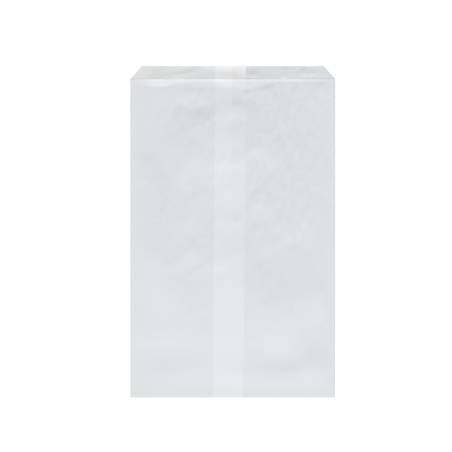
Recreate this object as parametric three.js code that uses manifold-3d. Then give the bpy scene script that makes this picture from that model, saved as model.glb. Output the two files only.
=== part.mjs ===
// A flat white paper bag, lying on its back, in millimetres with +Z up.
// The bag is one sheet of thin paper. It is folded into a flat tube with a lapped and
// glued seam up the back, and its bottom end is turned under and glued to the back.
// The knife that parts one bag from the next is stepped, so at the mouth the back stands
// above the front as a lip with slanted corners, and at the bottom the same shape is
// missing from the back layer, which lets glue close both layers at once.
// +Y runs up the bag to the mouth, +X to the right as the front is seen. The origin is
// the middle of the bag's footprint, on the surface that it lies on.

import * as THREE from "three";
import Module from "manifold-3d";

const wasm = await Module();
wasm.setup();

// The paper
const PAPER = 0.08; // gauge of the sheet
const GLUE = 0.02; // a dry glue line between two layers

// The bag, pressed flat
const BAG_WIDTH = 165; // from side fold to side fold
const BAG_HEIGHT = 267; // from the bottom fold to the top of the lip
const LIP_HEIGHT = 10.4; // how far the back stands above the front
const LIP_CORNER = 9.4; // how far each corner of the lip is cut in
const FLAP = 15; // how far the bottom is turned up on the back

// The seam up the back
const SEAM_LAP = 24.5; // overlap of the sheet's two edges
const SEAM_OFFSET = -2.7; // middle of the lap from the middle of the bag, at half height
const SEAM_SKEW = 2.2; // how far the lap wanders to the right on its way up the bag
const SEAM_GLUE = 13.5; // width of the glued part of the lap
const SEAM_STEP = 2; // width over which the inner edge climbs onto the outer one
const FREE_EDGE_LIFT = 0.5; // how far the loose edge inside the bag stands off at the mouth

// The folds
const LAP_CLEARANCE = 0.04; // between the lapped seam and the front where the bag is pressed flat
const BOTTOM_FOLD_GAP = 0.08; // between the back and the turned-up layers
const GLUE_MARGIN = 2; // bare paper around the glue that holds the flap

// The slight fullness of a bag that has been opened once
const REST_HALF_WIDTH = 34; // half of the strip of the back that lies on the surface
const FOLD_LIFT = 2; // how far the side folds stand up
const CROWN = 4.4; // how far the middle of the front stands above the side folds
const CROWN_POWER = 2.6; // 2 is a parabola, and more is flatter in the middle
const RISE_LENGTH = 120; // how far up the bag the fullness is complete
const SETTLE_LENGTH = 26; // how far above the flap the back comes down to the surface
const MOUTH_FLARE = 0.9; // how far the front's cut edge curls up
const MOUTH_FLARE_DEPTH = 9; // how far down the front that curl fades out
const WAVE_HEIGHT = 0.35; // soft waves left by handling
const WAVE_LENGTH_ACROSS = 74;
const WAVE_LENGTH_ALONG = 96;

// How finely the sheet is divided
const FRONT_CELLS = 18;
const BACK_CELLS = 4;
const LAP_CELLS = 2;
const FOLD_CELLS = 4;
const BOTTOM_CELLS = 6;
const SETTLE_CELLS = 4;
const BODY_CELLS = 15;
const MOUTH_CELLS = 3;

// What follows from the sizes above
const sideFoldRadius = PAPER + (GLUE + LAP_CLEARANCE) / 2; // to the middle of the paper
const bottomFoldRadius = BOTTOM_FOLD_GAP / 2;
const foldStart = BAG_WIDTH / 2 - sideFoldRadius - PAPER / 2;
const flatThickness = 2 * sideFoldRadius + PAPER; // front and back pressed together
const flapLevel = flatThickness + BOTTOM_FOLD_GAP; // underside of the back over the flap
const bendReach = bottomFoldRadius + flatThickness; // outside of the bottom fold from its axis
const flapLift = flapLevel - PAPER - GLUE; // raises the flap's single layer to the back
const frontHeight = BAG_HEIGHT - LIP_HEIGHT;
const notchEdge = FLAP - LIP_HEIGHT; // where the flap's back layer ends
const cornerX = foldStart - LIP_CORNER;
const cornerSlope = LIP_CORNER / LIP_HEIGHT;
const frontCell = (2 * cornerX) / FRONT_CELLS;

const clamp01 = (value) => Math.min(Math.max(value, 0), 1);
const easeInOut = (share) => clamp01(share) ** 2 * (3 - 2 * clamp01(share));
const rounded = (value) => Math.round(value * 10000) / 10000;
const spaced = (from, to, cells) =>
  Array.from({ length: cells + 1 }, (_, i) => from + ((to - from) * i) / Math.max(cells, 1));

// How full the bag is at a height, from 0 where it is glued flat to 1 in its body.
const fullness = (height) => easeInOut((height - FLAP) / RISE_LENGTH);

// The underside of the back in the strip that lies lowest: on the flap, then on the surface.
const backLevel = (height) => flapLevel * (1 - easeInOut((height - FLAP) / SETTLE_LENGTH));

const seamMiddle = (height) => SEAM_OFFSET + SEAM_SKEW * (height / BAG_HEIGHT - 1 / 2);
const outerEdgeX = (height) => seamMiddle(height) - SEAM_LAP / 2;
const innerEdgeX = (height) => seamMiddle(height) + SEAM_LAP / 2;
const glueEdgeX = (height) => outerEdgeX(height) + SEAM_GLUE;
const stepFootX = (height) => outerEdgeX(height) - SEAM_STEP;

// The middle of the back's paper, which lies flat under the middle and turns up to the folds.
function backSurface(x, height) {
  const outward = clamp01((Math.abs(x) - REST_HALF_WIDTH) / (foldStart - REST_HALF_WIDTH));
  return backLevel(height) + PAPER / 2 + FOLD_LIFT * fullness(height) * outward ** 2;
}

// The left part of the back ends on top of the right part, inside the bag.
function innerLapSurface(x, height) {
  const edge = outerEdgeX(height);
  const climb = clamp01((x - edge + SEAM_STEP) / SEAM_STEP) * (PAPER + GLUE);
  const loose = clamp01((x - glueEdgeX(height)) / (SEAM_LAP - SEAM_GLUE));
  return backSurface(x, height) + climb + FREE_EDGE_LIFT * fullness(height) * loose ** 2;
}

const sideFoldLevel = (height) => backSurface(foldStart, height) + sideFoldRadius;

// The front: a low crown across the bag, soft waves, and a cut edge that curls up.
function frontSurface(x, height) {
  const across = Math.abs(x) / foldStart;
  const crown = CROWN * (1 - across ** CROWN_POWER);
  const wave =
    WAVE_HEIGHT *
    Math.sin((2 * Math.PI * x) / WAVE_LENGTH_ACROSS + height / WAVE_LENGTH_ALONG) *
    Math.cos((2 * Math.PI * height) / WAVE_LENGTH_ALONG);
  const flare = MOUTH_FLARE * clamp01(1 - (frontHeight - height) / MOUTH_FLARE_DEPTH) ** 2;
  const lift = crown + (wave + flare) * (1 - across ** 2);
  return sideFoldLevel(height) + sideFoldRadius + fullness(height) * lift;
}

// In the turned-up flap the front is a single layer, raised to meet the back that it is
// glued to. Near the corners the back layer is still between them.
function flapFrontLift(x, distance) {
  const along = clamp01((distance - notchEdge) / GLUE_MARGIN);
  const inward = clamp01((cornerX - Math.abs(x)) / frontCell);
  return flapLift * along * inward;
}

// Lines along the bag's panels, each with its place across the bag at any height and the
// surface that it lies in. They run from one line of the panel to another.
function panelColumns(layer, surface, from, to, cells) {
  return spaced(0, 1, cells).map((share) => ({
    layer,
    surface,
    x: (height) => from(height) * (1 - share) + to(height) * share,
  }));
}

// Lines across the blank, in order from the seam's outer edge, round the right side fold,
// over the front, round the left side fold and back to the seam's inner edge.
function blankColumns() {
  const at = (x) => () => x;
  const kneeX = cornerX + GLUE_MARGIN * cornerSlope;
  const sideFold = (side) =>
    spaced(-Math.PI / 2, Math.PI / 2, FOLD_CELLS).map((angle) => ({ layer: "fold", side, angle }));
  return [
    ...panelColumns("back", backSurface, outerEdgeX, glueEdgeX, LAP_CELLS),
    ...panelColumns("back", backSurface, innerEdgeX, at(cornerX), BACK_CELLS),
    ...panelColumns("back", backSurface, at(kneeX), at(kneeX), 0),
    ...sideFold(1),
    ...panelColumns("front", frontSurface, at(cornerX), at(-cornerX), FRONT_CELLS),
    ...sideFold(-1).reverse(),
    ...panelColumns("back", innerLapSurface, at(-kneeX), at(-kneeX), 0),
    ...panelColumns("back", innerLapSurface, at(-cornerX), stepFootX, BACK_CELLS),
    ...panelColumns("back", innerLapSurface, outerEdgeX, glueEdgeX, LAP_CELLS),
    ...panelColumns("back", innerLapSurface, glueEdgeX, innerEdgeX, LAP_CELLS).slice(1),
  ];
}

// Lines along the blank: the flap, the turn of the bottom fold, and the panels up to the lip.
// A line has a distance from the bag's bottom edge and the angle that it is turned under by.
function blankRows() {
  const settled = FLAP + SETTLE_LENGTH;
  const flared = frontHeight - MOUTH_FLARE_DEPTH;
  const flap = [FLAP, notchEdge + GLUE_MARGIN, notchEdge];
  const panel = [
    ...spaced(FLAP, settled, SETTLE_CELLS),
    ...spaced(settled, flared, BODY_CELLS).slice(1),
    ...spaced(flared, frontHeight, MOUTH_CELLS).slice(1),
    BAG_HEIGHT - GLUE_MARGIN,
    BAG_HEIGHT,
  ];
  return [
    ...flap.map((distance) => ({ distance, turn: Math.PI })),
    ...spaced(Math.PI, 0, BOTTOM_CELLS).map((turn) => ({ distance: bendReach, turn })),
    ...panel.map((distance) => ({ distance, turn: 0 })),
  ];
}

// The stepped cut. At the mouth only the back is left, between slanted corners, and in the
// flap the same shape is missing from the back.
function isOnBlank(layer, x, distance, turn) {
  if (turn === 0 && distance > frontHeight) {
    return layer === "back" && Math.abs(x) < foldStart - (distance - frontHeight) * cornerSlope;
  }
  if (turn === Math.PI && distance > notchEdge && layer === "back") {
    return Math.abs(x) > cornerX + (distance - notchEdge) * cornerSlope;
  }
  return true;
}

// Where a crossing of two lines of the blank ends up on the folded bag. The section of the
// flattened tube is turned under about the axis of the bottom fold.
function foldedPoint(column, row) {
  const height = row.turn > 0 ? 0 : row.distance;
  let x, z;
  if (column.layer === "fold") {
    x = column.side * (foldStart + sideFoldRadius * Math.cos(column.angle));
    z = sideFoldLevel(height) + sideFoldRadius * Math.sin(column.angle);
  } else {
    x = column.x(height);
    z = column.surface(x, height);
    if (column.layer === "front" && row.turn > 0) z -= flapFrontLift(x, row.distance);
  }
  const axisZ = flapLevel - bottomFoldRadius;
  return new THREE.Vector3(
    x,
    row.distance - BAG_HEIGHT / 2 - (z - axisZ) * Math.sin(row.turn),
    axisZ + (z - axisZ) * Math.cos(row.turn),
  );
}

// The triangles of a grid of lines, cut to the blank. The diagonals of the cells lean the
// way that the corners of the stepped cut do.
function gridTriangles(columns, rows) {
  const xOf = (column, row) =>
    column.layer === "fold" ? column.side * foldStart : column.x(row.turn > 0 ? 0 : row.distance);
  const triangles = [];
  for (let r = 0; r + 1 < rows.length; r++) {
    for (let c = 0; c + 1 < columns.length; c++) {
      const layer = columns[c].layer === "fold" ? columns[c + 1].layer : columns[c].layer;
      const corners = [[c, r], [c + 1, r], [c + 1, r + 1], [c, r + 1]];
      const picks = 2 * c < columns.length ? [[0, 1, 3], [1, 2, 3]] : [[0, 1, 2], [0, 2, 3]];
      for (const pick of picks) {
        const three = pick.map((i) => corners[i]);
        const mean = (read) => three.reduce((sum, [i, j]) => sum + read(columns[i], rows[j]), 0) / 3;
        const x = mean(xOf);
        const distance = mean((_, row) => row.distance);
        const turn = mean((_, row) => row.turn);
        if (!isOnBlank(layer, x, distance, turn)) continue;
        triangles.push(three.map(([i, j]) => i + j * columns.length));
      }
    }
  }
  return triangles;
}

// A solid sheet of a given gauge, half of it to each side of a surface, with walls along
// the surface's free edges.
function thicken(points, triangles, gauge) {
  const normals = points.map(() => new THREE.Vector3());
  const edges = new Set();
  for (const [a, b, c] of triangles) {
    const ab = points[b].clone().sub(points[a]);
    const normal = points[c].clone().sub(points[a]);
    normal.crossVectors(ab, normal);
    for (const i of [a, b, c]) normals[i].add(normal);
    for (const edge of [[a, b], [b, c], [c, a]]) edges.add(edge.join());
  }
  const faceVertices = [];
  for (const side of [1 / 2, -1 / 2]) {
    points.forEach((point, i) => {
      const offset = normals[i].clone().normalize().multiplyScalar(side * gauge);
      faceVertices.push(...point.clone().add(offset).toArray().map(rounded));
    });
  }
  const under = points.length;
  const faces = [];
  for (const [a, b, c] of triangles) {
    faces.push(a, b, c, c + under, b + under, a + under);
    for (const [from, to] of [[a, b], [b, c], [c, a]]) {
      if (edges.has([to, from].join())) continue;
      faces.push(to, from, from + under, to, from + under, to + under);
    }
  }
  return solidOf(faceVertices, faces);
}

function solidOf(vertices, faces) {
  const mesh = new wasm.Mesh({
    numProp: 3,
    vertProperties: new Float32Array(vertices),
    triVerts: new Uint32Array(faces),
  });
  return new wasm.Manifold(mesh);
}

// The sheet itself.
function foldedSheet() {
  const columns = blankColumns();
  const rows = blankRows();
  const points = rows.flatMap((row) => columns.map((column) => foldedPoint(column, row)));
  return thicken(points, gridTriangles(columns, rows), PAPER);
}

// The seam's glue line, which stops short of the cut ends and of the outer edge. It bites a
// quarter of the gauge into the paper on both sides.
function seamGlue() {
  const from = (height) => outerEdgeX(height) + GLUE_MARGIN / 2;
  const surface = (x, height) => backSurface(x, height) + (PAPER + GLUE) / 2;
  const columns = panelColumns("glue", surface, from, glueEdgeX, 1);
  const rows = blankRows().slice(3, -2);
  rows.unshift({ distance: notchEdge - GLUE_MARGIN / 2, turn: Math.PI });
  rows.push({ distance: BAG_HEIGHT - GLUE_MARGIN / 2, turn: 0 });
  const points = rows.flatMap((row) => columns.map((column) => foldedPoint(column, row)));
  const triangles = gridTriangles(columns, rows);
  return thicken(points, triangles, GLUE + PAPER / 2);
}

// The glue between the back and the single layer of the flap, with bare paper around it.
function flapGlue() {
  const reach = cornerX - frontCell - GLUE_MARGIN;
  const low = notchEdge + 2 * GLUE_MARGIN - BAG_HEIGHT / 2;
  const high = FLAP - GLUE_MARGIN / 2 - BAG_HEIGHT / 2;
  const level = flapLevel - GLUE / 2;
  const points = [[-reach, low], [reach, low], [reach, high], [-reach, high]].map(
    ([x, y]) => new THREE.Vector3(x, y, level),
  );
  return thicken(points, [[0, 1, 2], [0, 2, 3]], GLUE + PAPER / 2);
}

function meshOf(name, solid, material) {
  const { vertProperties, triVerts } = solid.getMesh();
  const geometry = new THREE.BufferGeometry();
  const positions = Float32Array.from(vertProperties, rounded);
  geometry.setAttribute("position", new THREE.BufferAttribute(positions, 3));
  geometry.setIndex(Array.from(triVerts));
  geometry.computeVertexNormals();
  const mesh = new THREE.Mesh(geometry, material);
  mesh.name = name;
  return mesh;
}

const paper = new THREE.MeshStandardMaterial({
  name: "paper",
  color: 0xe3e6e9,
  roughness: 0.85,
  metalness: 0,
});

const bag = new THREE.Group();
bag.name = "paper_bag";
bag.add(meshOf("bag", foldedSheet().add(seamGlue()).add(flapGlue()), paper));

export default bag;
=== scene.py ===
"""A flat white paper bag, die-cut from a grid, folded in code and crumpled a little.

The bag lies on its back with its mouth towards +Y. The sheet starts as a flat grid, loses
the cells that the stepped knife cuts away, and is then folded line by line into a tube with
a lapped back seam and a turned-up bottom.
"""

import math

import bmesh
import bpy
import numpy as np
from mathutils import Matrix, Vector, noise


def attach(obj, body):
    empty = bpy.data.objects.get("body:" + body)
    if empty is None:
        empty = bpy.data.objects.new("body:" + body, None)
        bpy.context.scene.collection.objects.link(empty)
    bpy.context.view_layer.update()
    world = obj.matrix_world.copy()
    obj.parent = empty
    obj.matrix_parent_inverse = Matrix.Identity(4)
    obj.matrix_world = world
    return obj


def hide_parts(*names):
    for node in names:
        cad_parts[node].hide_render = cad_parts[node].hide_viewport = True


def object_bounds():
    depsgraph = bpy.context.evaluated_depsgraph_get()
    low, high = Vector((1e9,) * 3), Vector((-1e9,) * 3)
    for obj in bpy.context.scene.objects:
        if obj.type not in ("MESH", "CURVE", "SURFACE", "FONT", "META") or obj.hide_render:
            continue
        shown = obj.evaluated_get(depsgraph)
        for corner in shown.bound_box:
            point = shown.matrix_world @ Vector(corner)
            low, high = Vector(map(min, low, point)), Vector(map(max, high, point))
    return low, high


bl_info = {
    "name": "Flat Paper Bag",
    "version": (1, 0, 0),
    "blender": (4, 5, 0),
    "location": "View3D > Sidebar > Paper Bag",
    "description": "Folds a flat takeaway bag from a die-cut sheet and lights it",
    "category": "Add Mesh",
}

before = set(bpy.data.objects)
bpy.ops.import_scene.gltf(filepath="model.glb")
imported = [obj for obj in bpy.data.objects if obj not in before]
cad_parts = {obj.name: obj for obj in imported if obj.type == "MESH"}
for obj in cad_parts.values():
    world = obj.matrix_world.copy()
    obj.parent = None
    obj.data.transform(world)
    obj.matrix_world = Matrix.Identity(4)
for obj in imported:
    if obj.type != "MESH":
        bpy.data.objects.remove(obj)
CAD_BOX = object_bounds()
CAD_SIZE = [high - low for low, high in zip(*CAD_BOX)]

MM = 0.001


# What a user would change


def length(name, default, description):
    """A length in metres."""
    return bpy.props.FloatProperty(
        name=name, default=default, description=description, min=0.0, unit="LENGTH", precision=5
    )


def colour(name, default, description):
    """A colour without alpha."""
    return bpy.props.FloatVectorProperty(
        name=name, default=default, description=description, min=0.0, max=1.0, size=3,
        subtype="COLOR",
    )


def amount(name, default, description, high=10.0):
    """A plain number from 0 up."""
    return bpy.props.FloatProperty(
        name=name, default=default, description=description, min=0.0, max=high
    )


class BagProperties(bpy.types.PropertyGroup):
    """The sheet, its folds and its finish."""

    width: length("Width", CAD_SIZE[0], "From side fold to side fold")
    height: length("Height", CAD_SIZE[1], "From the bottom fold to the top of the lip")
    gauge: length("Gauge", 0.08 * MM, "Thickness of the paper")
    lip: length("Lip", 10.4 * MM, "How far the back stands above the front")
    corner: length("Corner", 9.4 * MM, "How far each corner of the lip is cut in")
    flap: length("Flap", 15 * MM, "How far the bottom is turned up on the back")
    lap: length("Seam Lap", 24.5 * MM, "Overlap of the sheet's two edges")
    seam_skew: length("Seam Skew", 2.2 * MM, "How far the lap wanders on its way up")
    glued: length("Glued Lap", 13.5 * MM, "Width of the glued part of the lap")
    crumple: amount("Crumple", 1.0, "Strength of the creases, the swells and the fine crumple")
    paper: colour("Paper", (0.739, 0.768, 0.795), "Colour of two layers of the paper")
    inside: colour("Inside", (0.778, 0.785, 0.796), "Colour of the single layer of the lip")
    lapped: amount("Lapped Layers", 1.051, "Brightness of the seam, where the paper is three layers")


class StageProperties(bpy.types.PropertyGroup):
    """The light, the table and the camera."""

    sky: amount("Sky", 0.55, "Strength of the even light from all round")
    lamp: amount("Lamp", 3744.0, "Power of the large soft lamp beyond the bag's bottom", 10000.0)
    table: colour("Table", (0.8, 0.8, 0.8), "Colour of the table in the bag's light")
    camera_height: length("Camera Height", 2.022, "How far the camera stands above the table")


# The folded form, in millimetres

# The seam, the gaps, the fullness and the waves, which are as in the solid.
SEAM_MIDDLE = -2.7
SEAM_STEP = 2.0
GLUE = 0.02
LAP_CLEARANCE = 0.04
BOTTOM_FOLD_GAP = 0.08
REST_HALF_WIDTH = 34.0
FOLD_LIFT = 2.0
CROWN = 4.4
CROWN_POWER = 2.6
RISE_LENGTH = 120.0
SETTLE_LENGTH = 26.0
WAVE_HEIGHT = 0.35
WAVE_LENGTH_ACROSS = 74.0
WAVE_LENGTH_ALONG = 96.0

# The bag gets full sooner than the solid, by this power.
RISE_POWER = 0.75

# The lap's loose strip stands off the back and curls up at the top of the lip. Beyond its edge,
# what the front lies on comes down to the back over the last of these lengths.
FREE_EDGE_LIFT = 0.2
LAP_CURL = 1.2
LAP_CURL_DEPTH = 7.0
LAP_CURL_POWER = 1.5
LAP_SETTLE = 6.0

# The mouth, where the visual front comes down onto the back. It stands off by the gap at its
# cut edge and by the puff behind it.
MOUTH_GAP = 0.05
MOUTH_PUFF = 0.4
PUFF_START = 2.0
PUFF_REACH = 10.0
MOUTH_CLOSING = 150.0

# Close to the side folds the creases and the room between the layers run out by this power.
SIDE_POWER = 6

# The front's creases grow from just above the bottom fold, and settle towards a line just past
# the cut edge.
RELIEF_START = 4.0
RELIEF_REACH = 30.0
EDGE_SETTLE = 7.0
EDGE_SETTLE_PAST = 0.8

# How deep the front may sink into the room above the back: the share that all of it may, the
# depth kept free for the fine crumple, and the least share that the folds may. The room starts
# a few gauges above the back, and a higher power lets the folds sink further before they slow.
DEEPEST_SHARE = 0.75
KEPT_FOR_CRUMPLE = 0.18
LEAST_SHARE = 0.2
LEAST_ROOM = 0.01
CLEAR_GAUGES = 3
SINK_POWER = 4

# Where the flap's single layer is glued to the back, it comes down over these lengths.
GLUE_DOWN_ALONG = 2.0
GLUE_DOWN_ACROSS = 4.0


def ease(share):
    """A soft step from 0 to 1."""
    share = np.clip(share, 0.0, 1.0)
    return share * share * (3.0 - 2.0 * share)


def bell(distance, width):
    """1 in the middle, and fading to 0 beyond the width on both sides."""
    return np.exp(-((distance / width) ** 2))


# Creases of the front: the points that a crease runs through, in millimetres from the bag's
# middle, its height, and how wide it is to the left and to the right of its run. A negative
# height is a valley.
CREASES = (
    # Below the buckle and left of the seam.
    (((-54.5, 101.5), (-49.0, 103.5), (-40.0, 104.0), (-35.5, 101.0)), -0.4, 1.5, 4.0),
    (((-29.0, 99.5), (-20.5, 104.0)), -0.4, 1.5, 4.0),
    (((-14.5, 96.0), (-20.5, 87.0)), 0.3, 1.5, 3.0),
    (((-31.0, 85.0), (-25.0, 87.0), (-18.0, 91.5)), 0.2, 1.2, 4.0),
    (((-78.0, 58.0), (-69.0, 66.5), (-62.0, 69.5), (-54.5, 75.5)), 0.4, 1.2, 5.0),
    (((-35.5, 119.0), (-37.0, 100.5)), 0.4, 2.5, 2.5),
    (((-39.0, 92.5), (-39.0, 83.0)), -0.4, 1.5, 1.5),
    # Right of the seam, below the mouth.
    (((9.0, 111.0), (18.5, 114.0), (26.0, 115.0), (33.0, 119.0), (41.5, 121.5)), 0.3, 1.1, 4.0),
    (((0.0, 100.5), (6.5, 103.5)), 0.3, 1.2, 3.0),
    (((10.5, 110.5), (14.5, 113.5)), 0.3, 1.0, 2.0),
    (((72.0, 91.0), (76.0, 97.5)), 0.3, 1.2, 3.0),
    (((16.5, 81.5), (31.0, 79.0)), 0.2, 1.4, 4.0),
    (((33.0, 69.5), (36.5, 75.5)), 0.3, 1.2, 3.0),
    (((18.5, 30.5), (28.5, 30.0)), 0.3, 1.5, 5.0),
    (((33.0, 21.0), (35.5, 27.5)), 0.3, 1.2, 3.0),
    # Short creases of the left half.
    (((-75.0, 38.5), (-70.5, 44.5)), 0.28, 0.9, 3.0),
    (((-64.0, 9.0), (-56.0, 18.0)), 0.28, 1.1, 3.0),
    (((-65.0, 21.0), (-60.0, 26.5)), 0.18, 1.0, 2.5),
    (((-36.0, 26.5), (-30.5, 30.5)), 0.16, 1.0, 3.0),
    (((-37.0, -9.0), (-21.5, -3.0)), 0.14, 1.0, 3.0),
    (((-37.5, -36.0), (-24.0, -28.0), (-16.5, -22.5)), 0.28, 1.3, 5.0),
    (((-56.0, -29.5), (-50.5, -25.0)), 0.22, 2.0, 4.0),
    # Above the bottom.
    (((-16.5, -62.5), (-30.5, -65.0), (-37.0, -71.0)), 0.16, 1.1, 4.0),
    (((-26.5, -108.0), (-35.0, -114.5), (-45.0, -119.0)), 0.22, 1.3, 8.0),
    (((49.5, -64.5), (41.5, -71.5)), 0.16, 1.1, 3.0),
)

# Soft folds that run down to the left of the seam, and across it, in the same terms.
SOFT_FOLDS = (
    (((-24.0, 72.0), (-33.0, 59.0), (-41.0, 52.5), (-43.5, 42.0), (-44.0, 34.0)), 0.8, 14.0, 12.0),
    (((-18.0, 34.0), (-32.0, 20.0), (-36.0, 12.0), (-42.5, 5.0), (-44.0, -6.0)), 0.5, 12.0, 10.0),
    (((-27.0, -7.5), (-37.0, -17.0), (-42.5, -24.0), (-45.0, -35.0)), 0.7, 12.0, 10.0),
    (((23.5, 74.0), (14.5, 65.0), (9.0, 59.0), (1.0, 51.5)), 0.45, 3.5, 5.0),
    (((22.0, 25.0), (11.5, 15.5), (6.0, 8.0), (-4.0, 1.5)), 0.3, 3.5, 5.0),
)

# How soon a crease is at its full height from its ends, and how soon a soft fold is. Both keep
# a little height at their very ends.
CREASE_FADE = 1.2
SOFT_FOLD_FADE = 0.9
END_HEIGHT = 0.06
CREASE_ROUNDING = 0.3

# Wide stretches of the front that tip towards its bottom, or away if the slope is negative:
# the middle of each, how far it reaches across and along, and its slope. They make a shallow
# saddle at half height, and less rise at the bottom's right.
WIDE_SWELLS = (
    ((-12.0, 47.0), (44.0, 29.0), 0.1),
    ((52.0, -35.0), (28.0, 20.0), -0.075),
    ((-48.0, -35.0), (26.0, 20.0), -0.06),
    ((38.0, -113.0), (50.0, 12.0), -0.14),
    ((-62.0, 6.0), (15.0, 24.0), -0.07),
    ((-15.0, 88.0), (24.0, 7.0), 0.035),
)

# The wide swells run out at the front's cut edge, over this stretch below it.
SWELLS_END = 123.0
SWELLS_FADE = 32.0

# Smaller stretches, in the same terms, from the mouth down.
TIPPED_PATCHES = (
    ((-28.0, 105.0), (14.0, 8.0), 0.1),
    ((-33.0, 116.0), (6.0, 8.0), 0.05),
    ((68.5, 109.5), (8.0, 12.0), 0.05),
    ((14.0, 103.0), (10.0, 8.0), -0.05),
    ((0.5, 94.0), (11.0, 5.0), 0.1),
    ((-66.0, 88.0), (22.0, 20.0), -0.065),
    ((-22.0, 77.0), (11.0, 9.0), 0.07),
    ((-71.0, 61.0), (9.0, 8.0), -0.13),
    ((23.5, 58.0), (12.0, 8.0), 0.04),
    ((2.0, 71.0), (9.0, 8.0), 0.06),
    ((-5.5, 52.5), (10.0, 5.0), 0.09),
    ((-27.0, 53.0), (13.0, 14.0), 0.05),
    ((-30.0, 8.0), (11.0, 13.0), 0.07),
    ((-25.0, 26.0), (10.0, 7.0), 0.07),
    ((-54.0, 43.0), (10.0, 14.0), -0.06),
    ((-33.0, -24.0), (10.0, 9.0), 0.06),
    ((22.0, 33.0), (10.0, 6.0), -0.03),
    ((22.0, 14.5), (10.0, 9.0), 0.04),
    ((-66.0, 50.0), (16.0, 30.0), -0.09),
    ((-3.0, 4.0), (11.0, 5.0), 0.09),
    ((-61.0, -14.5), (10.0, 9.0), -0.04),
    ((-72.0, -24.0), (8.0, 8.0), 0.04),
    ((-11.0, -29.0), (7.0, 5.0), 0.05),
    ((25.0, -39.0), (32.0, 28.0), -0.07),
    ((10.0, -80.0), (90.0, 27.0), -0.055),
    ((73.5, -71.0), (5.0, 5.0), 0.06),
    ((71.0, -38.0), (9.0, 18.0), -0.08),
    ((70.0, -95.0), (16.0, 17.0), -0.13),
    ((-77.0, -98.0), (7.0, 16.0), 0.06),
    ((-62.0, -88.0), (27.0, 7.0), 0.06),
    ((36.0, -86.0), (12.0, 12.0), 0.03),
    ((-50.0, -112.0), (19.0, 9.0), -0.06),
    ((45.5, -111.0), (8.0, 5.0), -0.08),
    ((58.0, -114.5), (7.0, 6.0), 0.04),
)

# A stretch settles again within this many times its reach along the bag.
PATCH_SETTLE = 2.4

# Creases, soft folds and patches wander by this much.
WANDER = 1.1

# Noises on the sheet: the wavelengths across and along in millimetres, the octaves and the seed.
WANDER_ACROSS = (9.0, 9.0, 2, 21.0)
WANDER_ALONG = (9.0, 9.0, 2, 27.0)
LONG_CRUMPLE = (5.0, 17.0, 2, 3.1)
SHORT_CRUMPLE = (3.2, 8.0, 2, 8.4)
WIDE_CRUMPLE = (24.0, 30.0, 3, 5.7)
BACK_SWELL = (19.0, 14.0, 3, 12.2)
LIP_CRUMPLE = (5.0, 5.0, 2, 14.8)

# The strength of the front's fine crumple: the least, what the upper part adds to it, and what
# the upper right adds. The upper part starts at a slanting line, the right part at a place
# across, and each comes to its full strength over a stretch.
CRUMPLE_LEAST = 0.1
CRUMPLE_UPPER = 0.4
CRUMPLE_UPPER_RIGHT = 0.6
UPPER_FROM = -90.0
UPPER_SLANT = 0.2
UPPER_STRETCH = 110.0
RIGHT_FROM = 4.0
RIGHT_STRETCH = 20.0

# Its lines lean to the right on their way up, and lose some of that lean from left to right.
LEAN = 0.45
LEAN_LOST = 0.3
LEAN_LOST_FROM = -20.0
LEAN_LOST_STRETCH = 60.0

# Heights of its long, short and wide waves. The last two have a share that is there all over.
LONG_HEIGHT = 0.4
SHORT_HEIGHT = 0.1
WIDE_HEIGHT = 0.14
EVEN_SHARE = 0.3

# Both layers curl up at the front's cut edge: how far below it the curl starts and how
# high it gets, at places across the bag.
CURL_PLACES = (-82.0, -46.0, -36.0, -8.0, 2.0, 14.0, 28.0, 42.0, 82.0)
CURL_REACH = (2.5, 2.5, 8.0, 8.0, 11.0, 9.0, 5.0, 2.5, 2.5)
CURL_HEIGHT = (0.3, 0.25, 1.4, 1.4, 1.4, 0.9, 0.55, 0.35, 0.3)
CURL_POWER = 1.8

# The buckle near the mouth's left end.
BUCKLE_HEIGHT = 2.1
BUCKLE_PLACE = -61.0
BUCKLE_HALF_WIDTH = 18.5
BUCKLE_DEPTH = 6.2

# From the cut edge to the top of the lip, curl and buckle come down by this power.
LIP_FALL_POWER = 1.3

# The back's swell: its height all over, what it gains towards the mouth, from a level up and
# over a stretch, and how far its noise may rise. Towards the mouth it gets a fine crumple too.
BACK_SWELL_HEIGHT = 0.06
MOUTH_SWELL_HEIGHT = 0.34
LIP_CRUMPLE_HEIGHT = 0.12
MOUTH_SWELL_FROM = 95.0
MOUTH_SWELL_STRETCH = 25.0
HIGHEST_SWELL = 1.2

# Creases of the lip, which only rise from the table.
LIP_CREASES = (
    (((-51.5, 126.5), (-40.0, 127.5), (-32.5, 129.5), (-27.0, 133.0)), 0.4, 0.9, 5.0),
    (((11.5, 125.5), (20.0, 126.5)), 0.6, 3.0, 2.0),
    (((41.0, 123.0), (41.0, 133.0)), 0.8, 1.4, 4.0),
    (((56.5, 125.5), (56.5, 131.5)), 0.7, 1.4, 4.0),
    (((63.0, 126.0), (63.0, 129.0)), 0.5, 1.4, 3.0),
)

# The lip's top edge stands up a little at the seam.
LIP_CURL = 0.8
LIP_CURL_PLACE = -8.0
LIP_CURL_WIDTH = 17.0
LIP_CURL_DEPTH = 5.0
LIP_CURL_POWER = 1.6


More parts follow.
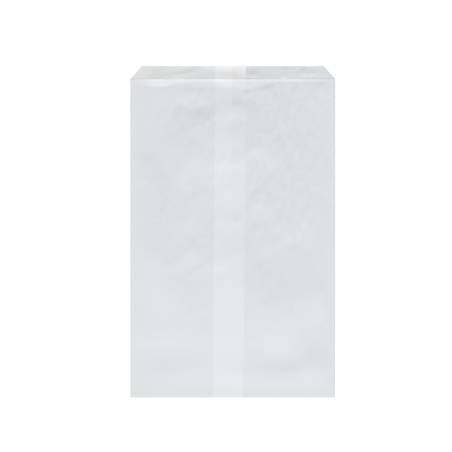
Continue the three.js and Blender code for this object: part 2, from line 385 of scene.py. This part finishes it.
def along_line(x, y, points):
    """Distance from a line of points, positive to the left of its run, and a share that
    fades out at its two ends."""
    lengths = [math.dist(start, end) for start, end in zip(points, points[1:])]
    nearest, side, run = np.full_like(x, np.inf), np.ones_like(x), np.zeros_like(x)
    passed = 0.0
    for (ax, ay), (bx, by), whole in zip(points, points[1:], lengths):
        dx, dy = (bx - ax) / whole, (by - ay) / whole
        step = np.clip((x - ax) * dx + (y - ay) * dy, 0.0, whole)
        distance = np.hypot(x - ax - step * dx, y - ay - step * dy)
        closer = distance < nearest
        nearest = np.where(closer, distance, nearest)
        side = np.where(closer, np.sign(dx * (y - ay) - dy * (x - ax)), side)
        run = np.where(closer, (passed + step) / sum(lengths), run)
        passed += whole
    return nearest * side, 4.0 * (run + END_HEIGHT) * (1.0 + END_HEIGHT - run)


def crease(x, y, points, height, left, right, fade=CREASE_FADE):
    """Height of one crease, with a barely rounded ridge and a side of each width."""
    distance, share = along_line(x, y, points)
    width = np.where(distance > 0, left, right)
    slope = np.exp(CREASE_ROUNDING - np.hypot(distance / width, CREASE_ROUNDING))
    return height * np.clip(fade * share, 0.0, 1.0) * slope


def tipped(x, y, middle, reach, slope):
    """Height of a stretch that tips by a slope, and settles again around it."""
    across, along = x - middle[0], y - middle[1]
    fade = bell(across, reach[0]) * bell(along, PATCH_SETTLE * reach[1])
    return slope * reach[1] * np.tanh(along / reach[1]) * fade


def noise_field(x, y, across, along, octaves, seed):
    """Fractal noise on the sheet, about -1 to 1, with its two wavelengths in millimetres."""
    falloff, next_octave = 0.9, 2.1
    flat = [
        noise.fractal(Vector((a / across, b / along, seed)), falloff, next_octave, octaves)
        for a, b in zip(x.ravel(), y.ravel())
    ]
    return np.array(flat).reshape(x.shape)


def raised(field):
    """Noise of about -1 to 1, lifted to about 0 to 1."""
    return 0.5 + 0.5 * field


def front_folds(x, y):
    """Height of the front's creases, soft folds and swells above its smooth form."""
    bent_x = x + WANDER * noise_field(x, y, *WANDER_ACROSS)
    bent_y = y + WANDER * noise_field(x, y, *WANDER_ALONG)
    folds = sum(crease(bent_x, bent_y, *each) for each in CREASES)
    folds += sum(crease(bent_x, bent_y, *each, fade=SOFT_FOLD_FADE) for each in SOFT_FOLDS)
    folds += sum(tipped(bent_x, bent_y, *each) for each in TIPPED_PATCHES)
    swells = sum(tipped(x, y, *each) for each in WIDE_SWELLS)
    return folds + swells * ease((SWELLS_END - y) / SWELLS_FADE)


def front_crumple(x, y):
    """Height of the front's fine crumple. It is strongest at the upper right, and its lines
    run steeply up to the right, more slanted on the left."""
    upper = ease((y - UPPER_FROM + UPPER_SLANT * x) / UPPER_STRETCH)
    right = ease((x - RIGHT_FROM) / RIGHT_STRETCH)
    strength = CRUMPLE_LEAST + upper * (CRUMPLE_UPPER + CRUMPLE_UPPER_RIGHT * right)
    leaned = x - y * (LEAN - LEAN_LOST * ease((x - LEAN_LOST_FROM) / LEAN_LOST_STRETCH))
    crumple = LONG_HEIGHT * strength * noise_field(leaned, y, *LONG_CRUMPLE)
    crumple += SHORT_HEIGHT * (EVEN_SHARE + strength) * noise_field(leaned, y, *SHORT_CRUMPLE)
    wide = EVEN_SHARE + (1.0 - EVEN_SHARE) * upper
    return crumple + WIDE_HEIGHT * wide * noise_field(x, y, *WIDE_CRUMPLE)


def mouth_rise(x, y, mouth, top):
    """The curl at the front's cut edge, with a buckle near its left corner. It comes down
    to the table again at the top of the lip."""
    depth = np.clip(mouth - y, 0.0, None)
    reach = np.interp(x, CURL_PLACES, CURL_REACH)
    curl = np.interp(x, CURL_PLACES, CURL_HEIGHT)
    rise = curl * np.clip(1.0 - depth / reach, 0.0, 1.0) ** CURL_POWER
    off_buckle = np.hypot((x - BUCKLE_PLACE) / BUCKLE_HALF_WIDTH, depth / BUCKLE_DEPTH)
    rise += BUCKLE_HEIGHT * np.clip(1.0 - off_buckle, 0.0, 1.0)
    return rise * (1.0 - np.clip((y - mouth) / (top - mouth), 0.0, 1.0)) ** LIP_FALL_POWER


def back_relief(x, y, mouth, top):
    """Height of the back's small waves and creases, which only rise from the table."""
    near_mouth = ease((y - MOUTH_SWELL_FROM) / MOUTH_SWELL_STRETCH)
    swell = np.clip(raised(noise_field(x, y, *BACK_SWELL)), 0.0, HIGHEST_SWELL)
    relief = swell * (BACK_SWELL_HEIGHT + MOUTH_SWELL_HEIGHT * near_mouth)
    relief += LIP_CRUMPLE_HEIGHT * near_mouth * raised(noise_field(x, y, *LIP_CRUMPLE))
    relief += sum(crease(x, y, *each) for each in LIP_CREASES)
    at_top = np.clip(1.0 - (top - y) / LIP_CURL_DEPTH, 0.0, 1.0) ** LIP_CURL_POWER
    relief += LIP_CURL * bell(x - LIP_CURL_PLACE, LIP_CURL_WIDTH) * at_top
    return relief + mouth_rise(x, y, mouth, top)


# The grid's cells, along the sheet from the flap's edge to the lip and across each layer

FLAP_CELLS = 8
NOTCH_CELLS = 3
BEND_CELLS = 8
OVER_FLAP_CELLS = 7
PANEL_CELLS = 160
MOUTH_CELLS = 10
MOUTH_CELLS_REACH = 8.0
LIP_CELLS = 12

GLUED_CELLS = 7
LOOSE_CELLS = 6
STEP_CELLS = 2
HALF_BACK_CELLS = 34
CORNER_CELLS = 5
FOLD_CELLS = 6
FRONT_CELLS = 118

# Up the lip the corner's cells get narrower, by this share at its top.
CORNER_SQUEEZE = 0.5

# A row turned by more radians than this lies on the flap. A row this near a line is on it.
ON_FLAP = 3.0
ON_LINE = 1e-6


class Sheet:
    """The grid of the sheet's lines, the cells that the knife leaves, and the folded places."""

    def __init__(self, bag):
        mm = 1.0 / MM
        self.width, self.height, self.gauge = bag.width * mm, bag.height * mm, bag.gauge * mm
        self.lip, self.corner, self.flap = bag.lip * mm, bag.corner * mm, bag.flap * mm
        self.lap, self.skew, self.glued = bag.lap * mm, bag.seam_skew * mm, bag.glued * mm
        self.strength = bag.crumple
        self.side_radius = self.gauge + (GLUE + LAP_CLEARANCE) / 2
        self.fold_x = self.width / 2 - self.side_radius - self.gauge / 2
        self.flat_thickness = 2 * self.side_radius + self.gauge
        self.flap_level = self.flat_thickness + BOTTOM_FOLD_GAP
        self.bend_reach = BOTTOM_FOLD_GAP / 2 + self.flat_thickness
        self.front_height = self.height - self.lip
        self.notch_edge = self.flap - self.lip
        self.lay_rows()
        self.lay_columns()

    def lay_rows(self):
        """Along the sheet: the flap, the bend at the bottom, the panel and the lip. A row is a
        distance from the bottom fold and the angle by which it is turned there."""

        def run(start, end, cells):
            return list(np.linspace(start, end, cells + 1))

        flap = run(self.flap, self.notch_edge, FLAP_CELLS)
        flap += run(self.notch_edge, self.bend_reach, NOTCH_CELLS)[1:-1]
        bend = run(math.pi, 0.0, BEND_CELLS)
        fine_from = self.front_height - MOUTH_CELLS_REACH
        panel = run(self.bend_reach, self.flap, OVER_FLAP_CELLS)[1:]
        panel += run(self.flap, fine_from, PANEL_CELLS)[1:]
        panel += run(fine_from, self.front_height, MOUTH_CELLS)[1:]
        panel += run(self.front_height, self.height, LIP_CELLS)[1:]
        self.distance = np.array(flap + [self.bend_reach] * len(bend) + panel)
        self.turn = np.array([math.pi] * len(flap) + bend + [0.0] * len(panel))
        self.on_flap = self.turn > ON_FLAP
        self.level = np.where(self.turn > 0, 0.0, self.distance)
        above = (self.distance - self.front_height) / self.lip
        self.lip_share = np.where(self.turn > 0, 0.0, np.clip(above, 0.0, 1.0))
        beyond = (self.distance - self.notch_edge) / self.lip
        self.notch_share = np.where(self.on_flap, np.clip(beyond, 0.0, 1.0), 0.0)

    def lay_columns(self):
        """Across the sheet: the outer lap, the right back, the right fold, the front, the left
        fold, the left back and the inner lap. A line is a layer, its places and, in a fold,
        its side and its angle."""
        self.seam_middle = SEAM_MIDDLE + self.skew * (self.level / self.height - 0.5)
        outer, inner = self.seam_middle - self.lap / 2, self.seam_middle + self.lap / 2
        glue_edge, step_foot = outer + self.glued, outer - SEAM_STEP
        self.edge = self.fold_x - self.lip_share * self.corner
        squeezed = 1.0 - CORNER_SQUEEZE * self.lip_share
        knee = self.edge - self.corner * (1.0 - self.notch_share) * squeezed
        side = np.full_like(self.level, self.fold_x)
        self.columns = []

        def run(layer, start, end, cells, first=1):
            for share in np.linspace(0.0, 1.0, cells + 1)[first:]:
                self.columns.append((layer, start + (end - start) * share, None))

        def fold(sign, start, end):
            # The fold's first line takes the place of the layer's last one.
            self.columns.pop()
            for angle in np.linspace(start, end, FOLD_CELLS + 1):
                self.columns.append(("fold", sign * side, (sign, angle)))

        quarter = math.pi / 2
        run("outer", outer, glue_edge, GLUED_CELLS, first=0)
        run("outer", glue_edge, inner, LOOSE_CELLS)
        run("outer", inner, knee, HALF_BACK_CELLS)
        run("outer", knee, self.edge, CORNER_CELLS)
        self.right_edge = len(self.columns) - 1
        fold(1, -quarter, quarter)
        run("front", side, -side, FRONT_CELLS)
        fold(-1, quarter, -quarter)
        self.left_edge = len(self.columns) - 1
        run("inner", -self.edge, -knee, CORNER_CELLS)
        run("inner", -knee, step_foot, HALF_BACK_CELLS)
        run("inner", step_foot, outer, STEP_CELLS)
        run("inner", outer, glue_edge, GLUED_CELLS)
        run("inner", glue_edge, inner, LOOSE_CELLS)

    def keeps(self, column, row):
        """Whether the knife leaves the cell that starts at a line across and one along."""
        if self.turn[row] == 0.0 and self.distance[row] >= self.front_height - ON_LINE:
            return column < self.right_edge or column >= self.left_edge
        if self.on_flap[row] and self.distance[row] > self.notch_edge + ON_LINE:
            return self.right_edge - CORNER_CELLS <= column < self.left_edge + CORNER_CELLS
        return True

    def fullness(self):
        """How far the layers stand apart along the bag, from 0 over the flap to 1."""
        return ease(np.clip((self.level - self.flap) / RISE_LENGTH, 0.0, 1.0) ** RISE_POWER)

    def back(self, x):
        """The back's level: it lies on the flap, then on the table, and lifts at the sides."""
        on_flap = self.flap_level * (1.0 - ease((self.level - self.flap) / SETTLE_LENGTH))
        outward = (np.abs(x) - REST_HALF_WIDTH) / (self.fold_x - REST_HALF_WIDTH)
        outward = np.clip(outward, 0.0, 1.0)
        return on_flap + self.gauge / 2 + FOLD_LIFT * self.fullness() * outward**2

    def inner_lap(self, x):
        """The level of the left back, which steps up onto the outer lap at the seam. Its loose
        strip stands off a little, and curls up at the top of the lip."""
        beyond = x - (self.seam_middle - self.lap / 2)
        climb = np.clip((beyond + SEAM_STEP) / SEAM_STEP, 0.0, 1.0) * (self.gauge + GLUE)
        loose = np.clip((beyond - self.glued) / (self.lap - self.glued), 0.0, 1.0)
        past = 1.0 - ease((beyond - self.lap) / LAP_SETTLE)
        top = np.clip(1.0 - (self.height - self.level) / LAP_CURL_DEPTH, 0.0, 1.0)
        lift = (FREE_EDGE_LIFT + LAP_CURL * top**LAP_CURL_POWER) * self.fullness() * loose
        return self.back(x) + (climb + lift) * past

    def smooth_front(self, x, under):
        """The front's smooth form, which comes down onto what is under it at the mouth."""
        across = np.abs(x) / self.fold_x
        wave = (
            WAVE_HEIGHT
            * np.sin(2 * math.pi * x / WAVE_LENGTH_ACROSS + self.level / WAVE_LENGTH_ALONG)
            * np.cos(2 * math.pi * self.level / WAVE_LENGTH_ALONG)
        )
        lift = CROWN * (1.0 - across**CROWN_POWER) + wave * (1.0 - across**2)
        fold_level = self.back(np.full_like(x, self.fold_x)) + self.side_radius
        full = fold_level + self.side_radius + self.fullness() * lift
        depth = self.front_height - self.level
        apart = self.gauge + MOUTH_GAP + MOUTH_PUFF * ease((depth - PUFF_START) / PUFF_REACH)
        closed = under + apart + (2 * self.side_radius - apart) * across**SIDE_POWER
        return full + (closed - full) * ease(1.0 - depth / MOUTH_CLOSING)

    def sunk(self, folds, crumple, room):
        """The front's relief, which sinks only so far into the room under it: the folds come
        to their deepest softly, and leave some of the room to the crumple."""
        deepest = np.maximum(DEEPEST_SHARE * room - KEPT_FOR_CRUMPLE, LEAST_SHARE * room)
        valley = np.minimum(folds, 0.0) / deepest
        valley = deepest * valley / (1.0 + valley**SINK_POWER) ** (1.0 / SINK_POWER)
        return np.maximum(np.maximum(folds, 0.0) + valley + crumple, -DEEPEST_SHARE * room)

    def front(self, x, under, folds, crumple, inside):
        """The front with its relief. On the flap its single layer comes down to the back."""
        smooth = self.smooth_front(x, under)
        room = np.clip(smooth - under - CLEAR_GAUGES * self.gauge, LEAST_ROOM, None)
        relief = self.sunk(folds, crumple, room)
        relief = relief * ease((self.level - RELIEF_START) / RELIEF_REACH)
        relief = relief * ease((self.front_height - self.level + EDGE_SETTLE_PAST) / EDGE_SETTLE)
        glued_down = self.flap_level - self.gauge - GLUE
        glued_down = glued_down * ease((self.distance - self.notch_edge) / GLUE_DOWN_ALONG)
        corner = self.fold_x - self.corner
        glued_down = glued_down * self.on_flap * ease((corner - np.abs(x)) / GLUE_DOWN_ACROSS)
        return smooth + relief * inside - glued_down

    def folded(self):
        """Every crossing of the grid, folded, in metres: an array by column, row and axis."""
        x = np.array([places for _, places, _ in self.columns])
        y = np.tile(self.level - self.height / 2, (len(self.columns), 1))
        z = np.zeros_like(x)
        mouth = self.front_height - self.height / 2
        waves = self.strength * back_relief(x, y, mouth, self.height / 2) * self.fullness()
        folds = self.strength * front_folds(x, y)
        crumple = self.strength * front_crumple(x, y)
        inside = np.clip(1.0 - (np.abs(x) / self.fold_x) ** SIDE_POWER, 0.0, 1.0)
        fold_level = self.back(self.edge) + self.side_radius
        for i, (layer, places, turn) in enumerate(self.columns):
            if layer == "fold":
                side, angle = turn
                x[i] = side * (self.edge + self.side_radius * math.cos(angle))
                z[i] = fold_level + self.side_radius * math.sin(angle)
            elif layer == "outer":
                z[i] = self.back(places) + waves[i] * inside[i]
            else:
                z[i] = self.inner_lap(places) + waves[i] * inside[i]
            if layer == "front":
                z[i] = self.front(places, z[i], folds[i], crumple[i], inside[i])
        axis = self.flap_level - BOTTOM_FOLD_GAP / 2
        y = self.distance - self.height / 2 - (z - axis) * np.sin(self.turn)
        z = axis + (z - axis) * np.cos(self.turn)
        return np.stack([x, y, z], axis=2) * MM


# Wires between a material's nodes


class Wire:
    """One output in a node tree. Arithmetic on it adds Math nodes."""

    def __init__(self, tree, socket=None):
        self.tree = tree
        self.socket = socket

    def node(self, kind, settings=None, sockets=None, output=0):
        """The chosen output of a new node, which has these settings, values and links."""
        made = self.tree.nodes.new(kind)
        for name, value in (settings or {}).items():
            setattr(made, name, value)
        for key, value in (sockets or {}).items():
            if isinstance(value, Wire):
                self.tree.links.new(value.socket, made.inputs[key])
            else:
                made.inputs[key].default_value = value
        return Wire(self.tree, made.outputs[output] if made.outputs else None)

    def beside(self, output):
        """Another output of the same node."""
        return Wire(self.tree, self.socket.node.outputs[output])

    def math(self, operation, *values, clamp=False):
        """The result of a Math node on these wires and numbers."""
        settings = {"operation": operation, "use_clamp": clamp}
        return self.node("ShaderNodeMath", settings, dict(enumerate(values)))

    def __add__(self, other):
        return self.math("ADD", self, other)

    __radd__ = __add__

    def __sub__(self, other):
        return self.math("SUBTRACT", self, other)

    def __rsub__(self, other):
        return self.math("SUBTRACT", other, self)

    def __mul__(self, other):
        return self.math("MULTIPLY", self, other)

    __rmul__ = __mul__

    def __truediv__(self, other):
        return self.math("DIVIDE", self, other)

    def __abs__(self):
        return self.math("ABSOLUTE", self)

    def past(self, softness):
        """0 below zero, 1 above it, with a soft step as wide as given in millimetres."""
        return self.math("ADD", self / (softness * MM), 0.5, clamp=True)


def new_tree(holder):
    """A wire into the emptied node tree of a material or a world."""
    holder.use_nodes = True
    holder.node_tree.nodes.clear()
    return Wire(holder.node_tree)


def grain(wire, place, per_metre, detail, roughness, stretch=None):
    """Fractal noise from 0 to 1 on a place in metres, stretched along its axes if asked."""
    if stretch:
        settings = {"operation": "MULTIPLY"}
        place = wire.node("ShaderNodeVectorMath", settings, {0: place, 1: stretch})
    return wire.node(
        "ShaderNodeTexNoise",
        {"noise_dimensions": "3D"},
        {"Vector": place, "Scale": per_metre, "Detail": detail, "Roughness": roughness},
    )


# The paper's look

# Soft edges of its shades, in millimetres, and how far below the front's cut edge its painted
# highlight lies.
BAND_SOFTNESS = 0.5
LOOSE_SOFTNESS = 0.4
LIP_SOFTNESS = 0.1
FLAP_SOFTNESS = 3.0
LOOSE_RIM_SOFTNESS = 0.9
EDGE_HIGHLIGHT_SOFTNESS = 1.2
EDGE_HIGHLIGHT_DEPTH = 0.8

# The lip has a painted shade to the right of this place, and the lap's loose part is darker from
# here up.
LIP_SHADE_FROM = 12.0
LIP_SHADE_SOFTNESS = 3.0
LOOSE_SHADE_MIDDLE = 10.0
LOOSE_SHADE_SOFTNESS = 150.0

# What each of them gives to the paper's brightness, as a share.
LOOSE_SHADE = 0.03
LOOSE_RIM_SHINE = 0.015
FLAP_SHINE = 0.008
# The cut edge's share is a painted highlight, where the curled edge catches the lamp.
CUT_EDGE_PAINTED_HIGHLIGHT = 0.115
LIP_BAND_SHINE = 0.025
# The lip's right part's share is a painted shade.
LIP_RIGHT_PAINTED_SHADE = 0.04
CLOUD_SHADE = 0.02
FIBRE_SHADE = 0.015

# How much of the lip's right part has the colour of the two layers, darker and bluer, as part of its
# painted shade.
LIP_RIGHT_SHARE = 0.7

# Noises of the paper: how fine per metre, the detail, the roughness and, for what runs along
# the bag, the stretch. They are clouds of thicker and thinner pulp, fibres, the ridges of the
# crumple, the grain of the pulp, and the spots of the gloss.
CLOUDS = (55.0, 4.0, 0.55)
FIBRES = (900.0, 2.0, 0.6, (1.0, 0.45, 1.0))
RIDGES = (130.0, 5.0, 0.6, (1.0, 0.55, 1.0))
PULP = (420.0, 5.0, 0.62, (1.0, 0.7, 1.0))
GLOSS_SPOTS = (260.0, 3.0, 0.6)

# The ridges are deepest in the front's upper right quarter: where it starts across and along,
# and how soft its two edges are, in millimetres.
QUARTER_FROM = (14.0, 20.0)
QUARTER_SOFTNESS = (30.0, 70.0)
RIDGE_SHARPNESS = 4

# Shares of the bump, whose full depth is in metres.
BUMP_DEPTH = 0.0001
PULP_BUMP = 0.2
FIBRE_BUMP = 0.12
RIDGE_BUMP = 0.3
QUARTER_BUMP = 1.2

GLOSS_ROUGHNESS = 0.56
GLOSS_RANGE = 0.2
PAPER_SPECULAR = 0.3

# Sockets of a Mix node that mixes colours.
MIX_SHARE, MIX_FIRST, MIX_SECOND, MIX_RESULT = 0, 6, 7, 2


def paper_material(bag):
    """White machine-glazed paper, brighter where it is lapped and darker where it is single."""
    material = bpy.data.materials.new("white_paper")
    wire = new_tree(material)
    place = wire.node("ShaderNodeTexCoord", output="Object")
    x = wire.node("ShaderNodeSeparateXYZ", sockets={"Vector": place}, output="X")
    y = x.beside("Y")

    # The lap shows through the front as a lighter band, and its loose part a little less.
    half_lap = bag.lap / 2
    mouth = bag.height / 2 - bag.lip
    across = x - y * (bag.seam_skew / bag.height) - SEAM_MIDDLE * MM
    band = (across + half_lap).past(BAND_SOFTNESS) * (half_lap - across).past(BAND_SOFTNESS)
    past_glue = across - (bag.glued - half_lap)
    loose = past_glue.past(LOOSE_SOFTNESS)
    loose_rim = 1 - abs(past_glue).past(LOOSE_RIM_SOFTNESS)
    lip = (y - mouth).past(LIP_SOFTNESS)
    # The lip's right part gets a painted shade.
    lip_right = (x - LIP_SHADE_FROM * MM).past(LIP_SHADE_SOFTNESS)
    # A painted highlight along the front's cut edge, where the curled edge catches the lamp.
    edge_highlight = 1 - abs(y - (mouth - EDGE_HIGHLIGHT_DEPTH * MM)).past(EDGE_HIGHLIGHT_SOFTNESS)
    flap = (-1 * y - (bag.height / 2 - bag.flap)).past(FLAP_SOFTNESS)
    upper = (y - LOOSE_SHADE_MIDDLE * MM).past(LOOSE_SHADE_SOFTNESS)

    layers = 1 + band * (bag.lapped - 1) - band * loose * upper * LOOSE_SHADE
    layers = layers + flap * FLAP_SHINE + loose_rim * upper * LOOSE_RIM_SHINE
    # The painted highlight along the front's cut edge.
    layers = layers + edge_highlight * (1 - lip) * CUT_EDGE_PAINTED_HIGHLIGHT
    # The painted shade on the lip's right part.
    layers = layers + lip * band * LIP_BAND_SHINE - lip * lip_right * LIP_RIGHT_PAINTED_SHADE
    clouds = grain(wire, place, *CLOUDS) - 0.5
    fibres = grain(wire, place, *FIBRES) - 0.5
    tone = layers * (1 + clouds * CLOUD_SHADE + fibres * FIBRE_SHADE)
    single = lip * (1 - lip_right * LIP_RIGHT_SHARE)
    paper = wire.node(
        "ShaderNodeMix",
        {"data_type": "RGBA"},
        {MIX_SHARE: single, MIX_FIRST: (*bag.paper, 1.0), MIX_SECOND: (*bag.inside, 1.0)},
        output=MIX_RESULT,
    )
    tint = wire.node("ShaderNodeVectorMath", {"operation": "SCALE"}, {0: paper, "Scale": tone})

    # Fine ridges of crumpled paper.
    right = (x - QUARTER_FROM[0] * MM).past(QUARTER_SOFTNESS[0])
    quarter = right * (y - QUARTER_FROM[1] * MM).past(QUARTER_SOFTNESS[1])
    ridges = 1 - abs(grain(wire, place, *RIDGES) - 0.5) * RIDGE_SHARPNESS
    pulp = grain(wire, place, *PULP)
    height = pulp * PULP_BUMP + fibres * FIBRE_BUMP
    height = height + ridges * (RIDGE_BUMP + quarter * QUARTER_BUMP)
    bump_sockets = {"Strength": 1.0, "Distance": BUMP_DEPTH, "Height": height}
    gloss = grain(wire, place, *GLOSS_SPOTS) - 0.5
    shader = wire.node(
        "ShaderNodeBsdfPrincipled",
        sockets={
            "Base Color": tint,
            "Roughness": GLOSS_ROUGHNESS + gloss * GLOSS_RANGE,
            "Specular IOR Level": PAPER_SPECULAR,
            "Normal": wire.node("ShaderNodeBump", sockets=bump_sockets),
        },
    )
    wire.node("ShaderNodeOutputMaterial", sockets={"Surface": shader})
    return material


# The stage

TABLE_SIZE = 8.0
TABLE_DROP = 0.1 * MM
TABLE_GLOW = 0.86
TABLE_SHADE = (0.25, 0.25, 0.25, 1.0)
WHITE = (1.0, 1.0, 1.0, 1.0)

# The lamp is far beyond the bag's bottom and looks at the bag's middle.
LAMP_PLACE = (-1.2, -18.2, 15.2)
LAMP_SIZE = 6.8
LAMP_COLOUR = (1.0, 0.995, 0.985)

# The camera looks straight down from beside the bag's middle, through a long lens.
CAMERA_X = -5.43 * MM
CAMERA_Y = 4.87 * MM
CAMERA_LENS = 200.0
CAMERA_SENSOR = 36.0
CAMERA_FAR = 20.0


def by_ray(wire, light, shown):
    """One shader for the light that falls on things, and another for what the camera sees,
    straight or in a gloss or a glass."""
    seen = wire.node("ShaderNodeLightPath", output="Is Camera Ray")
    rays = seen
    for name in ("Is Glossy Ray", "Is Transmission Ray"):
        seen = wire.math("MAXIMUM", seen, rays.beside(name))
    return wire.node("ShaderNodeMixShader", sockets={0: seen, 1: light, 2: shown})


def table_material(stage):
    """White to the camera, with only the soft shadow of the bag on it."""
    material = bpy.data.materials.new("white_table")
    wire = new_tree(material)
    glow = wire.node("ShaderNodeEmission", sockets={"Strength": TABLE_GLOW})
    shade = wire.node("ShaderNodeBsdfDiffuse", sockets={"Color": TABLE_SHADE})
    shown = wire.node("ShaderNodeAddShader", sockets={0: glow, 1: shade})
    light = wire.node("ShaderNodeBsdfDiffuse", sockets={"Color": (*stage.table, 1.0)})
    wire.node("ShaderNodeOutputMaterial", sockets={"Surface": by_ray(wire, light, shown)})
    return material


def soft_sky(stage):
    """An even light from all round, which is white where it is seen."""
    world = bpy.data.worlds.new("soft_sky")
    wire = new_tree(world)
    light = wire.node("ShaderNodeBackground", sockets={"Color": WHITE, "Strength": stage.sky})
    shown = wire.node("ShaderNodeBackground", sockets={"Color": WHITE, "Strength": 1.0})
    wire.node("ShaderNodeOutputWorld", sockets={"Surface": by_ray(wire, light, shown)})
    return world


# The operators

# Points nearer than this are one, and edges shorter than this go, in metres.
MERGE_DISTANCE = 1e-6
SHORTEST_EDGE = 1e-7
SMOOTH_ANGLE = math.radians(40.0)


def start_piece(context):
    """Leaves edit mode and deselects all."""
    if context.mode != "OBJECT":
        bpy.ops.object.mode_set(mode="OBJECT")
    bpy.ops.object.select_all(action="DESELECT")


def on_grid(place, across, along):
    """The column and the row, with fractions, of a place on the flat grid from -1 to 1."""
    return (place.x + 1.0) / 2.0 * across, (place.y + 1.0) / 2.0 * along


class PAPERBAG_OT_fold(bpy.types.Operator):
    """Die-cuts a flat sheet, folds it into the bag and gives it its gauge and its paper"""

    bl_idname = "paperbag.fold"
    bl_label = "Fold the Bag"
    bl_options = {"REGISTER", "UNDO"}

    def execute(self, context):
        props = context.scene.paper_bag
        sheet = Sheet(props)
        across, along = len(sheet.columns) - 1, len(sheet.distance) - 1
        start_piece(context)
        bpy.ops.mesh.primitive_grid_add(x_subdivisions=across, y_subdivisions=along, size=2.0)
        piece = context.object
        piece.name = "folded_paper_bag"
        mesh = piece.data
        if len(mesh.vertices) != (across + 1) * (along + 1):
            raise RuntimeError("The flat grid doesn't have the sheet's lines")

        # The knife: the cells outside the stepped cut go while the sheet is flat.
        bpy.ops.object.mode_set(mode="EDIT")
        bpy.ops.mesh.select_all(action="DESELECT")
        bpy.ops.mesh.select_mode(type="FACE")
        edit = bmesh.from_edit_mesh(mesh)
        for face in edit.faces:
            column, row = on_grid(face.calc_center_median(), across, along)
            face.select_set(not sheet.keeps(int(column), int(row)))
        bmesh.update_edit_mesh(mesh)
        bpy.ops.mesh.delete(type="FACE")
        bpy.ops.object.mode_set(mode="OBJECT")

        places = sheet.folded()
        for vertex in mesh.vertices:
            column, row = on_grid(vertex.co, across, along)
            vertex.co = places[round(column), round(row)]

        bpy.ops.object.mode_set(mode="EDIT")
        bpy.ops.mesh.select_mode(type="VERT")
        bpy.ops.mesh.select_all(action="SELECT")
        bpy.ops.mesh.remove_doubles(threshold=MERGE_DISTANCE)
        bpy.ops.mesh.dissolve_degenerate(threshold=SHORTEST_EDGE)
        bpy.ops.object.mode_set(mode="OBJECT")

        bpy.ops.object.modifier_add(type="SOLIDIFY")
        solidify = piece.modifiers[-1]
        solidify.thickness = props.gauge
        solidify.offset = 0.0
        bpy.ops.object.modifier_apply(modifier=solidify.name)
        bpy.ops.object.shade_smooth_by_angle(angle=SMOOTH_ANGLE)

        mesh.materials.append(paper_material(props))
        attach(piece, "root")
        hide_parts("bag")
        return {"FINISHED"}


class PAPERBAG_OT_stage(bpy.types.Operator):
    """Lays the white table and sets the soft light and the camera above the bag"""

    bl_idname = "paperbag.stage"
    bl_label = "Lay the Stage"
    bl_options = {"REGISTER", "UNDO"}

    def execute(self, context):
        props = context.scene.paper_bag_stage
        start_piece(context)
        bpy.ops.mesh.primitive_plane_add(size=TABLE_SIZE, location=(0.0, 0.0, -TABLE_DROP))
        table = context.object
        table.name = "table"
        bpy.ops.object.transform_apply(location=True, rotation=False, scale=False)
        table.data.materials.append(table_material(props))

        context.scene.world = soft_sky(props)
        context.scene.view_settings.view_transform = "Standard"

        bpy.ops.object.light_add(type="AREA", location=LAMP_PLACE)
        lamp = context.object
        lamp.name = "soft_lamp"
        lamp.rotation_euler = (-Vector(LAMP_PLACE)).to_track_quat("-Z", "Y").to_euler()
        lamp.data.shape = "SQUARE"
        lamp.data.size = LAMP_SIZE
        lamp.data.energy = props.lamp
        lamp.data.color = LAMP_COLOUR

        place = (CAMERA_X, CAMERA_Y, props.camera_height)
        bpy.ops.object.camera_add(location=place, rotation=(0.0, 0.0, 0.0))
        camera = context.object
        camera.name = "camera_above"
        camera.data.lens = CAMERA_LENS
        camera.data.sensor_width = CAMERA_SENSOR
        camera.data.clip_end = CAMERA_FAR
        context.scene.camera = camera
        return {"FINISHED"}


class PAPERBAG_PT_panel(bpy.types.Panel):
    """Sizes, finish and stage of the paper bag"""

    bl_idname = "PAPERBAG_PT_panel"
    bl_label = "Paper Bag"
    bl_space_type = "VIEW_3D"
    bl_region_type = "UI"
    bl_category = "Paper Bag"

    def draw(self, context):
        for title, group, operator in (
            ("Bag", context.scene.paper_bag, PAPERBAG_OT_fold),
            ("Stage", context.scene.paper_bag_stage, PAPERBAG_OT_stage),
        ):
            box = self.layout.box()
            box.label(text=title)
            for name in group.bl_rna.properties.keys():
                if name not in {"name", "rna_type"}:
                    box.prop(group, name)
            box.operator(operator.bl_idname)


CLASSES = (
    BagProperties,
    StageProperties,
    PAPERBAG_OT_fold,
    PAPERBAG_OT_stage,
    PAPERBAG_PT_panel,
)


def register():
    for cls in CLASSES:
        bpy.utils.register_class(cls)
    bpy.types.Scene.paper_bag = bpy.props.PointerProperty(type=BagProperties)
    bpy.types.Scene.paper_bag_stage = bpy.props.PointerProperty(type=StageProperties)


def unregister():
    del bpy.types.Scene.paper_bag_stage
    del bpy.types.Scene.paper_bag
    for cls in reversed(CLASSES):
        bpy.utils.unregister_class(cls)


def main():
    register()
    bpy.ops.paperbag.stage()
    bpy.ops.paperbag.fold()


if __name__ == "__main__":
    main()
